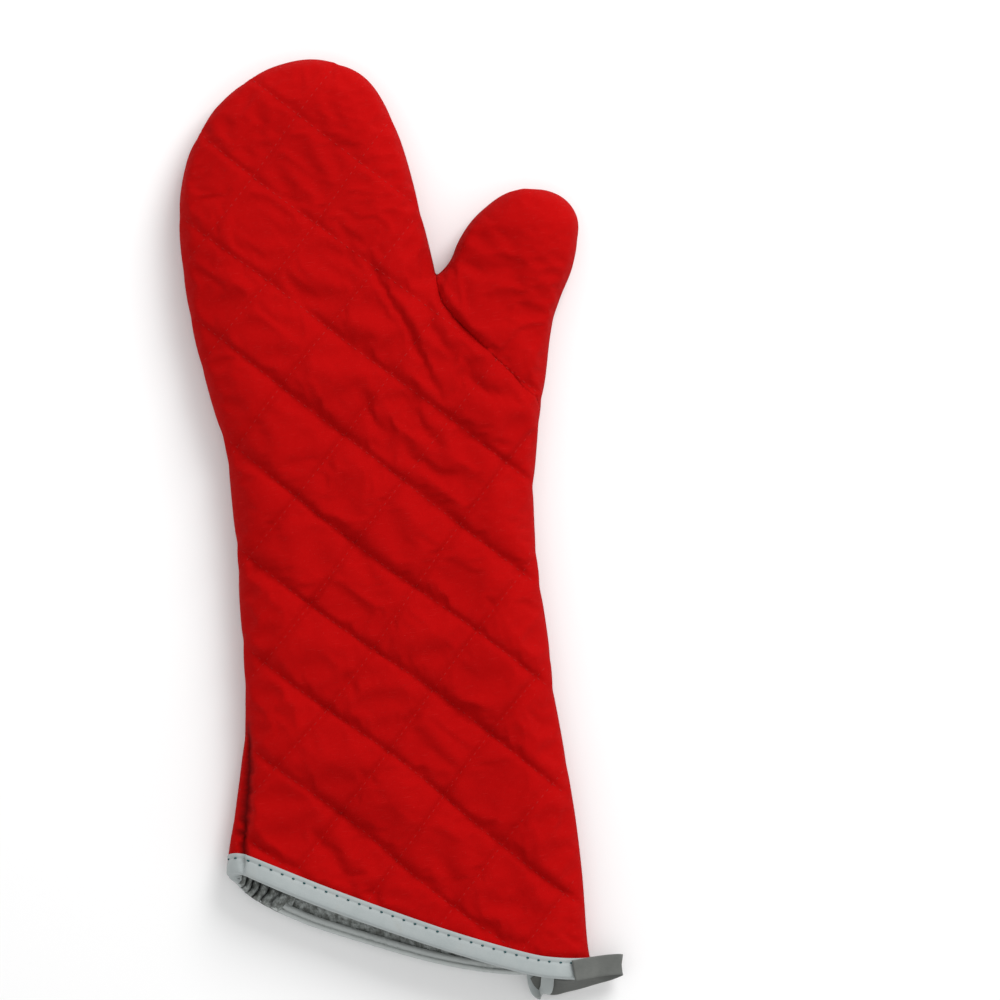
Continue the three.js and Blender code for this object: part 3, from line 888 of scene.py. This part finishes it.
def thicken(made, thickness):
    solidify = made.modifiers.new("Thickness", "SOLIDIFY")
    solidify.thickness = thickness * MM
    solidify.offset = -1
    solidify.use_rim = True
    return apply_modifiers(made)


# %% Part the covers
COVER_THICKNESS = 0.75


def finish_piece(made, material, nodes):
    made.data.materials.clear()
    made.data.materials.append(material)
    made.data.polygons.foreach_set("material_index", np.zeros(len(made.data.polygons), np.int32))
    made.data.shade_smooth()
    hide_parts(*nodes)
    return made


def part_and_bend(whole, side, layer, thickness, material):
    for thumb in (False, True):
        name = f"{side}_{layer}_thumb_part" if thumb else f"{side}_{layer}_hand_part"
        piece = part(whole, name, thumb)
        if thickness:
            thicken(piece, thickness)
        regions = ["thumb"] if thumb else ["hand", "fingers"]
        finish_piece(piece, material, [f"{side}_{layer}_{region}" for region in regions])
        if thumb:
            bend_at_thumb(piece)
        else:
            bend_at_knuckles(piece)
    bpy.data.objects.remove(whole)


surfaces = {}
for side, cover in (("palm", palm_cover), ("back", back_cover)):
    surfaces[side] = BVHTree.FromPolygons(
        [Vector(p) for p in coordinates(cover.data)], [tuple(f.vertices) for f in cover.data.polygons]
    )
    part_and_bend(cover, side, "cover", COVER_THICKNESS, COTTON)

# %% [markdown]
# ## Wadding and lining
#
# The layers under the cover follow its cut at their own depth. The lining is a thin sheet on the inner
# side of the dome, and the wadding fills what is left. They only show at the mouth, so they need no
# simulation, but they are there when a part of the mitt is taken away.

# %% The inner layers
WADDING_TOP = 2.9  # below the cover's face
WADDING_BOTTOM = 4.7
LINING_TOP = 5.0
LINING_THICKNESS = 0.5
SEAM_GAP = 0.3  # that each layer leaves above or below the side seam
LAYERS = [
    # name, depths of the outer and inner face, their shares of the quilting, finish, slot, fill
    ("wadding", (WADDING_TOP, WADDING_BOTTOM), (0.8, 0.5), WADDING, "wadding", 0.6),
    ("lining", (LINING_TOP, LINING_TOP + LINING_THICKNESS), (0.5, 0.5), LINING, "silver_lining", 0.3),
]


def layer_surface(cut, is_palm, depth, quilt_share):
    """Points of the panel at a depth below the cover's face, kept clear of the side seam."""
    height = palm_height if is_palm else back_height
    outward = 1 if is_palm else -1
    smooth = height(cut.points, cut.edge_distance, smooth=True)
    pulled_in = quilt_share * quilt_shift(cut.points)
    if is_palm:
        pulled_in += np.minimum(crease_shift(cut.points), 0)
    pulled_in *= clear_of_rim(cut.points, cut.rim)
    if is_palm:
        pulled_in -= 1.2 * np.maximum(seam_groove(cut.points)[0], 0)
    z = smooth + outward * pulled_in * ramp(cut.edge_distance, 0, 8)
    whole = mesh_object("scratch", np.column_stack([cut.points[:, :2], z]), cut.faces)
    facing = normals(whole.data) * outward
    points = coordinates(whole.data) / MM - pattern_start - facing * depth
    bpy.data.objects.remove(whole)
    limit = SEAM_HEIGHT + outward * SEAM_GAP
    points[:, 2] = np.maximum(points[:, 2], limit) if is_palm else np.minimum(points[:, 2], limit)
    return points


def closed_between(name, outer, inner, cut, is_palm):
    """A closed solid between two surfaces on the same cut."""
    count = len(outer)
    faces = [face if is_palm else face[::-1] for face in cut.faces]
    thumb = thumb_side_of(cut.points, cut.faces)
    pattern = np.column_stack([cut.points[:, :2], np.zeros(count)])
    parts = []
    for wanted in (False, True):
        chosen = [face for face, on_thumb in zip(faces, thumb) if on_thumb == wanted]
        sides = {(a, b) for face in chosen for a, b in zip(face, face[1:] + face[:1])}
        walls = [(b, a, a + count, b + count) for a, b in sides if (b, a) not in sides]
        under = [tuple(i + count for i in face[::-1]) for face in chosen]
        parts += [(face, wanted) for face in chosen + under + walls]
    on_thumb = np.array([wanted for _, wanted in parts])
    return mesh_object(
        name, np.vstack([outer, inner]), [face for face, _ in parts], np.vstack([pattern, pattern]), on_thumb
    )


for side, cut, is_palm in (("palm", palm_cut, True), ("back", back_cut, False)):
    for layer, depths, quilt_shares, finish, slot_name, fill in LAYERS:
        outer, inner = (layer_surface(cut, is_palm, *face) for face in zip(depths, quilt_shares))
        whole = closed_between(f"{side}_{layer}", outer, inner, cut, is_palm)
        part_and_bend(whole, side, layer, 0, finish)
print("wadding and linings made")

# %% [markdown]
# ## Quilting stitches
#
# Each stitch is a short bar of thread that lies on the cloth, nearly four millimetres from the next. A
# dotted line in the material would do from far away, but real stitches catch the light and cast small
# shadows. They are laid along the same quilting lines that the covers were cut to.

# %% Stitches
STITCH_SPACING = 3.65
STITCH_LENGTH = 1.9
STITCH_RADIUS = 0.19
BAR_RINGS = [
    # share of the length, share of the radius, rise in radii
    (0, 0.15, -0.7),
    (0.12, 0.7, -0.1),
    (0.35, 1, 0.2),
    (0.65, 1, 0.2),
    (0.88, 0.7, -0.1),
    (1, 0.15, -0.7),
]


def thread_bar(start, end, radius, up, sides=6):
    """Points and faces of one stitch: a bar that is thick in the middle and dips at both ends."""
    along = end - start
    across = np.cross(along, up)
    across = across / np.linalg.norm(across)
    lift = np.cross(across, along)
    lift = lift / np.linalg.norm(lift)
    points = []
    for share, size, rise in BAR_RINGS:
        middle = start + share * along + rise * radius * lift
        for k in range(sides):
            turn = 2 * math.pi * k / sides
            points.append(middle + radius * size * (math.cos(turn) * across + math.sin(turn) * lift))
    faces = [(a, d, c, b) for a, b, c, d in grid_faces(len(BAR_RINGS), sides, columns_join=True)]
    faces += [tuple(range(sides)), tuple(range(len(points) - 1, len(points) - sides - 1, -1))]
    return points, faces


class Thread:
    """Collects stitches and makes them into one object."""

    def __init__(self):
        self.points = []
        self.faces = []
        self.count = 0

    def stitch(self, start, end, radius, up):
        points, faces = thread_bar(np.array(start), np.array(end), radius, np.array(up))
        first = len(self.points)
        self.points += points
        self.faces += [tuple(i + first for i in face) for face in faces]
        self.count += 1

    def made(self, name, material, slot_name):
        thread = mesh_object(name, np.array(self.points), self.faces)
        thread.data.materials.append(material)
        return thread


def surface_point(side, place):
    """The point of a finished cover over a place on the pattern, and its outward direction."""
    down = -1 if side == "palm" else 1
    origin = Vector(in_frame([place[0], place[1], 60 if side == "palm" else -30]))
    hit, facing, _, _ = surfaces[side].ray_cast(origin, Vector((0, 0, down)))
    if hit is None:
        return None
    if facing.z * down > 0:
        facing = -facing
    return np.array(hit) / MM - pattern_start, np.array(facing)


def quilting_places(outline):
    """Pairs of places where the needle goes in and out, along every quilting line."""
    pairs = []
    reach = np.arange(-360, 480, STITCH_SPACING)
    random = np.random.default_rng(8)
    for family in ("deep", "shallow"):
        for number in range(-12, 14):
            near = reach + random.uniform(0, STITCH_SPACING)
            far = near + STITCH_LENGTH + random.uniform(-0.25, 0.25, len(reach))
            line = np.full(len(reach), (DEEP_START if family == "deep" else SHALLOW_START) + number * PITCH)
            ends = [quilted(line, t) if family == "deep" else quilted(t, line) for t in (near, far)]
            middles = (ends[0] + ends[1]) / 2
            keep = is_inside(middles, outline)
            keep[keep] = to_line(middles[keep], outline, closed=True)[0] > 3
            pairs += list(zip(ends[0][keep], ends[1][keep]))
    return pairs


for side, cut in (("palm", palm_cut), ("back", back_cut)):
    threads = {False: Thread(), True: Thread()}
    for start, end in quilting_places(cut.outline):
        middle = (start + end) / 2
        fold, _, fold_side = to_line(middle[None], seam_fold)
        if side == "palm" and middle[1] < SEAM_FOLD_TOP and (fold_side[0] > 0 or fold[0] < 2):
            continue
        if in_thumb(middle[None])[0] > 0.4:
            continue
        ends = [surface_point(side, place) for place in (start, end)]
        if None in ends:
            continue
        on_thumb = bool(is_inside(middle[None], beyond_crease)[0])
        up = ends[0][1] + ends[1][1]
        threads[on_thumb].stitch(ends[0][0], ends[1][0], STITCH_RADIUS, up)
    for on_thumb, thread in threads.items():
        part_name = "thumb" if on_thumb else "hand"
        made = thread.made(f"{side}_stitches_{part_name}_part", RED_THREAD, "red_cotton")
        (bend_at_thumb if on_thumb else bend_at_knuckles)(made)
        print(f"{made.name}: {thread.count} stitches")

# %% [markdown]
# ## The binding
#
# The binding is one tape folded over the raw edges all the way round the mouth. It is swept along a
# closed line: across the palm's rim, round the thumb's corner, and back along the other rim, which
# reaches further out on the short side and lets the lining show. At each place the tape's section is
# set out from the fold: so far in along the cloth, and so far out from it.

# %% The mouth's line
BINDING_WIDTH = 9.2
INNER_WIDTH = 4.6
PANEL_THICKNESS = 6.0
RIM_STEP = 0.9
STITCH_ROW = 6.9  # in from the fold, of the binding's stitches, which sink into a shallow dent


def unit(vectors):
    """The same directions, each one long."""
    return vectors / np.linalg.norm(vectors, axis=1)[:, None]


def rim_lines(rim, height, flip):
    """The fold and the upper edge of the binding along one rim, on the cover's face."""
    fold = even_steps(rim, RIM_STEP)
    tangent = np.gradient(fold, axis=0)
    inward = unit(np.stack([-tangent[:, 1], tangent[:, 0]], axis=1))
    upright = bell(fold[:, 0] - fold[0, 0], 7) + bell(fold[:, 0] - fold[-1, 0], 9)
    side_way = np.stack([np.where(fold[:, 0] < 0, 0.17, 0.02), np.ones(len(fold))], axis=1)
    inward = unit(inward * (1 - upright[:, None]) + side_way * upright[:, None])
    upper = fold + BINDING_WIDTH * inward
    lines = []
    for places in (fold, upper):
        inside = np.where(is_inside(places, side_seam), to_line(places, side_seam)[0], 0)
        lines.append(np.column_stack([places, height(places, inside, smooth=True)]))
    return [line[::-1] if flip else line for line in lines]


def clipped(rim):
    """A rim from one side of the mitt to the other."""
    line = even_steps(rim, 0.3)
    return line[is_inside(line, side_seam)]


near = rim_lines(clipped(palm_rim), palm_height, False)
far = rim_lines(clipped(back_rim), back_height, True)
fold_line = np.vstack([near[0], far[0]])
upper_line = np.vstack([near[1], far[1]])


def softened(line, rounds):
    for _ in range(rounds):
        line = (np.roll(line, 1, axis=0) + 2 * line + np.roll(line, -1, axis=0)) / 4
    return line


fold_line = softened(fold_line, 6)
upper_line = softened(upper_line, 6)
on_palm = np.concatenate([np.ones(len(near[0])), np.zeros(len(far[0]))])
print(f"the mouth's line has {len(fold_line)} places")

# %% The binding's section
along_rim = np.concatenate([[0], np.cumsum(np.linalg.norm(np.diff(fold_line, axis=0), axis=1))])
inward = unit(upper_line - fold_line)
tangent = np.roll(fold_line, -1, axis=0) - np.roll(fold_line, 1, axis=0)
outward = unit(np.cross(tangent, inward))

rim_places = np.column_stack([along_rim, np.zeros(len(along_rim))])
crinkle = (1 - on_palm) * (1.0 * ripples(rim_places, 11, 31) + 0.6 * ripples(rim_places, 4.5, 32))
short_corner = bell(fold_line[:, 0] + 84, 16) * (1 - on_palm)
crinkle += 2.4 * short_corner * ripples(rim_places, 6, 33)
fold_below_palm = on_palm * (fold_line[:, 0] < -70)


def binding_section():
    """The tape's section, as distances in from the fold and out from the cover."""
    outer = [(BINDING_WIDTH, 0.1), (BINDING_WIDTH + 0.05, 0.75), (BINDING_WIDTH - 0.3, 0.95)]
    outer += [(BINDING_WIDTH - 1.4, 0.85), (7.3, 0.72), (STITCH_ROW, 0.5), (6.5, 0.72)]
    outer += [(5.0, 0.9), (2.5, 0.95)]
    turns = 9
    middle = (0.95 - PANEL_THICKNESS - 0.4) / 2
    half = (0.95 + PANEL_THICKNESS + 0.4) / 2
    for i in range(turns + 1):
        angle = math.pi / 2 + math.pi * i / turns
        outer.append((0.5 + 1.6 * math.cos(angle), middle + half * math.sin(angle)))
    face = -PANEL_THICKNESS - 0.4
    groove = face + 0.5
    outer += [(1.3, face), (1.45, groove), (1.85, groove), (2.0, face), (INNER_WIDTH, face)]
    inner = [(INNER_WIDTH, -PANEL_THICKNESS + 0.2), (1.2, -PANEL_THICKNESS + 0.2)]
    inner += [(0.1, -PANEL_THICKNESS + 1.5), (-0.1, -1.5), (0.4, -0.3), (1.5, 0.1), (5.0, 0.1)]
    return outer + inner


section = np.array(binding_section())
rings = []
for into, out in section:
    loose = np.clip(1 - into / BINDING_WIDTH, 0, 1) * (-np.abs(crinkle) if out < 0 else 0.35 * crinkle)
    ring = fold_line + into * inward
    seam_distance = to_line(ring, seam_fold)[0]
    groove_depth = 3.2 * np.clip(into / 5, 0.3, 1) * fold_below_palm
    wave = loose - groove_depth * bell(seam_distance, 0.8)
    rings.append(ring + (out + wave)[:, None] * outward)
rings = np.array(rings)  # section, place, axis
rings[:, :, 2] = np.maximum(rings[:, :, 2], FLOOR_GAP)
sections, places, _ = rings.shape
faces = grid_faces(sections, places, rows_join=True, columns_join=True)
# The third number marks the tape's inner side, which is painted paler against its shade.
inner_side_painted_light = np.repeat((section[:, 1] < -PANEL_THICKNESS + 1).astype(float), places)
tape_pattern = np.column_stack(
    [np.tile(along_rim, sections), np.repeat(section[:, 0] - section[:, 1], places), inner_side_painted_light]
)
binding = mesh_object("cuff_binding_tape", rings.reshape(-1, 3), faces, tape_pattern)
finish_piece(binding, TAPE, ["cuff_binding"])
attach(binding, "hand")
print(f"binding: {len(binding.data.vertices)} vertices, mouth line {along_rim[-1]:.0f} mm long")

# %% The binding's stitches
BINDING_STITCH_SPACING = 5.8
BINDING_STITCH_LENGTH = 1.5
BINDING_STITCH_RADIUS = 0.42
BINDING_STITCH_HEIGHT = 0.72  # out from the cover
binding_thread = Thread()
for distance in np.arange(2, along_rim[-1] - 4, BINDING_STITCH_SPACING):
    ends = []
    for reach in (distance, distance + BINDING_STITCH_LENGTH):
        at, into, out = (
            np.array([np.interp(reach, along_rim, line[:, k]) for k in range(3)])
            for line in (fold_line, inward, outward)
        )
        ends.append(at + STITCH_ROW * into + BINDING_STITCH_HEIGHT * out)
    binding_thread.stitch(ends[0], ends[1], BINDING_STITCH_RADIUS, out)
stitches = binding_thread.made("binding_stitches", TEAL_THREAD, "thread")
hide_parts("binding_thread")
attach(stitches, "hand")
print(f"binding stitches: {binding_thread.count}")

# %% The gathered lining
GATHER_END = -62  # the gather runs from here to the cuff's short corner
GATHER_FOLDS = 7
GATHER_HEIGHT = 3.1
GATHER_OVERHANG = 1.0  # how far it hangs out past the fold, where it curls up
GATHER_REACH = 9.5  # how far it reaches in
LINING_FACE = -PANEL_THICKNESS - 0.7
LINING_STRIP_THICKNESS = 0.25


def gathered_lining():
    """A strip of lining that has crept out over the binding at the short corner, in small folds."""
    chosen = np.where((on_palm == 0) & (fold_line[:, 0] < GATHER_END))[0]
    columns = np.linspace(chosen[0], chosen[-1], 110)
    base, into_way, out_way = (
        np.column_stack([np.interp(columns, np.arange(len(line)), line[:, k]) for k in range(3)])
        for line in (fold_line, inward, outward)
    )
    share = np.linspace(0, 1, len(columns))
    points, pattern = [], []
    for into in np.linspace(-GATHER_OVERHANG, GATHER_REACH, 16):
        skew = 0.35 * np.sin(into * 0.7 + 9 * share)
        wave = np.abs(np.sin(math.pi * GATHER_FOLDS * share**1.5 + skew))
        strength = ramp(share, 0, 0.5) * ramp(GATHER_REACH - into, 0, 2)
        rise = GATHER_HEIGHT * strength * wave**0.7
        curl = 2.6 * bell(into + GATHER_OVERHANG, 1.0)
        points.append(base + into * into_way + (LINING_FACE - rise + curl)[:, None] * out_way)
        # The pattern's third number paints shade deep in each fold.
        fold_shade = strength * (1 - wave) ** 1.2
        pattern.append(np.column_stack([share * 40, np.full(len(share), into), fold_shade]))
    return np.vstack(points), grid_faces(len(points), len(columns)), np.vstack(pattern)


gather = mesh_object("gathered_lining_strip", *gathered_lining())
thicken(gather, LINING_STRIP_THICKNESS)
finish_piece(gather, LINING, ["back_lining_hand"])
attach(gather, "hand")
print(f"gathered lining: {len(gather.data.vertices)} vertices")

# %% [markdown]
# ## The hanging loop
#
# The loop is one strip of tape, doubled. It leaves the binding at the thumb's corner, folds back on
# itself, leans against the rim and goes back under it. The strip is a swept flat section whose width
# turns as it goes. The binding's own end is a shorter strip, folded down beside the loop's root.

# %% The loop's strip
LOOP_WIDTH = 10.2
LOOP_THICKNESS = 1.1
LOOP_COURSE = [
    # across, up, height, and the direction of the strip's width there
    ((73, -32.8, 24.0), (-0.1, 1, 0.0)),
    ((78, -32.7, 21.2), (-0.08, 1, 0.0)),
    ((84, -32.8, 16.2), (-0.02, 1, 0.0)),
    ((90, -33.0, 13.2), (0.06, 1, 0.0)),
    ((94.6, -33.4, 11.6), (0.14, 1, 0.0)),
    ((96.4, -33.9, 9.6), (0.18, 1, 0.05)),
    ((94.4, -34.8, 7.4), (0.16, 1, 0.2)),
    ((89, -36.8, 6.2), (0.1, 0.9, 0.45)),
    ((83, -38.7, 5.6), (0.05, 0.7, 0.7)),
    ((76, -40.3, 5.2), (0.02, 0.6, 0.8)),
    ((68, -40.9, 5.2), (0.0, 0.66, 0.75)),
    ((62, -40.4, 5.6), (0.1, 0.85, 0.5)),
    ((58, -37.6, 6.6), (0.5, 0.8, 0.3)),
    ((56, -33.0, 8.6), (0.9, 0.4, 0.1)),
]
TAIL_COURSE = [
    # the binding's own end, turned down over the loop's root and folded back into the mouth
    ((60.5, -31, 11), (1, 0.05, 0.0)),
    ((59.6, -37, 8.6), (1, 0.1, 0.1)),
    ((58.2, -41.6, 6.8), (1, 0.2, 0.2)),
    ((55.6, -43.0, 5.4), (1, 0.35, 0.1)),
    ((53.6, -40.4, 5.6), (0.95, 0.4, -0.2)),
    ((53.0, -35, 7.4), (0.95, 0.2, -0.3)),
    ((53.4, -30, 9), (1, 0.1, -0.2)),
]
TAIL_WIDTH = 6.4


def tape_strip(places, strip_width):
    """A flat strip of tape swept along a course: its points, its faces and its own flat pattern."""
    course = np.array([place for place, _ in places], float)
    widths = np.array([width for _, width in places], float)
    both = smooth_line(np.hstack([course, widths * 12]), 1.0)
    middle = both[:, :3]
    width = both[:, 3:]
    along = unit(np.gradient(middle, axis=0))
    width = unit(width - (width * along).sum(1)[:, None] * along)
    thick = np.cross(along, width)
    half, flat = strip_width / 2, LOOP_THICKNESS / 2
    section = [(-half, -0.6 * flat), (-half + 0.3, -flat), (-half + 1.2, -0.9 * flat), (0, -0.8 * flat)]
    section += [(half - 1.2, -0.9 * flat), (half - 0.3, -flat), (half, -0.6 * flat)]
    section += [(-a, -b) for a, b in section]
    count = len(section)
    points = [m + a * w + b * t for m, w, t in zip(middle, width, thick) for a, b in section]
    faces = grid_faces(len(middle), count, columns_join=True)
    last = (len(middle) - 1) * count
    faces += [tuple(range(count))[::-1], tuple(range(last, last + count))]
    pattern = [(step, a, b) for step in range(len(middle)) for a, b in section]
    points = np.array(points)
    points[:, 2] = np.maximum(points[:, 2], FLOOR_GAP)
    return points, faces, np.array(pattern)


loop = mesh_object("hanging_loop_tape", *tape_strip(LOOP_COURSE, LOOP_WIDTH))
finish_piece(loop, LOOP_TAPE, ["hanging_loop"])
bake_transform(loop)
tail = mesh_object("binding_tail_tape", *tape_strip(TAIL_COURSE, TAIL_WIDTH))
finish_piece(tail, TAPE, ["cuff_binding"])
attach(tail, "hand")
print(f"loop: {len(loop.data.vertices)} points, and the binding's tail: {len(tail.data.vertices)}")

# %% [markdown]
# ## Floor, light and camera
#
# The mitt lies on a plain white table under soft light from the fingers' side. The camera looks
# straight down through a long lens, turned so that the mitt leans a little to the left, as it was laid.

# %% Floor
FLOOR_SIZE = 6.0
corners = [(-1, -1), (1, -1), (1, 1), (-1, 1)]
floor_mesh = bpy.data.meshes.new("floor")
floor_mesh.from_pydata([(x * FLOOR_SIZE / 2, y * FLOOR_SIZE / 2, 0) for x, y in corners], [], [(0, 1, 2, 3)])
floor = bpy.data.objects.new("floor", floor_mesh)
scene.collection.objects.link(floor)
floor_finish = Finish("white_table", Base_Color=(0.92, 0.92, 0.92, 1), Roughness=0.8)
floor_mesh.materials.append(floor_finish.material)

# %% Light
world = bpy.data.worlds.new("soft_room")
world.use_nodes = True
world.node_tree.nodes["Background"].inputs["Color"].default_value = (1.0, 1.0, 1.0, 1)
world.node_tree.nodes["Background"].inputs["Strength"].default_value = 0.78
scene.world = world


def area_light(name, direction, height_angle, distance, size, power):
    """A square lamp that faces the mitt's middle from a direction across the table."""
    lift = math.radians(height_angle)
    heading = Vector((direction[0], direction[1], 0)).normalized() * math.cos(lift)
    place = Vector((heading.x, heading.y, math.sin(lift))) * distance
    lamp = bpy.data.lights.new(name, "AREA")
    lamp.shape = "SQUARE"
    lamp.size = size
    lamp.energy = power
    made = bpy.data.objects.new(name, lamp)
    made.location = place
    made.rotation_euler = (-place).to_track_quat("-Z", "Y").to_euler()
    scene.collection.objects.link(made)
    return made


area_light("key_light", direction=(0.66, 0.75), height_angle=38, distance=1.9, size=1.0, power=26)

# %% Camera
LEAN = math.radians(7.5)
VIEW_MIDDLE = Vector((0.0508, 0.0043, 0.012))
VIEW_WIDTH = 0.490
CAMERA_HEIGHT = 3.0
camera_data = bpy.data.cameras.new("camera")
camera_data.sensor_width = 36
camera_data.lens = camera_data.sensor_width * CAMERA_HEIGHT / VIEW_WIDTH
camera = bpy.data.objects.new("camera", camera_data)
camera.location = VIEW_MIDDLE + Vector((0, 0, CAMERA_HEIGHT))
camera.rotation_euler = (0, 0, -LEAN)
scene.collection.objects.link(camera)
scene.camera = camera
scene.view_settings.view_transform = "Standard"
print(f"lens {camera_data.lens:.0f} mm")

# %% The end
print("the scene is made")
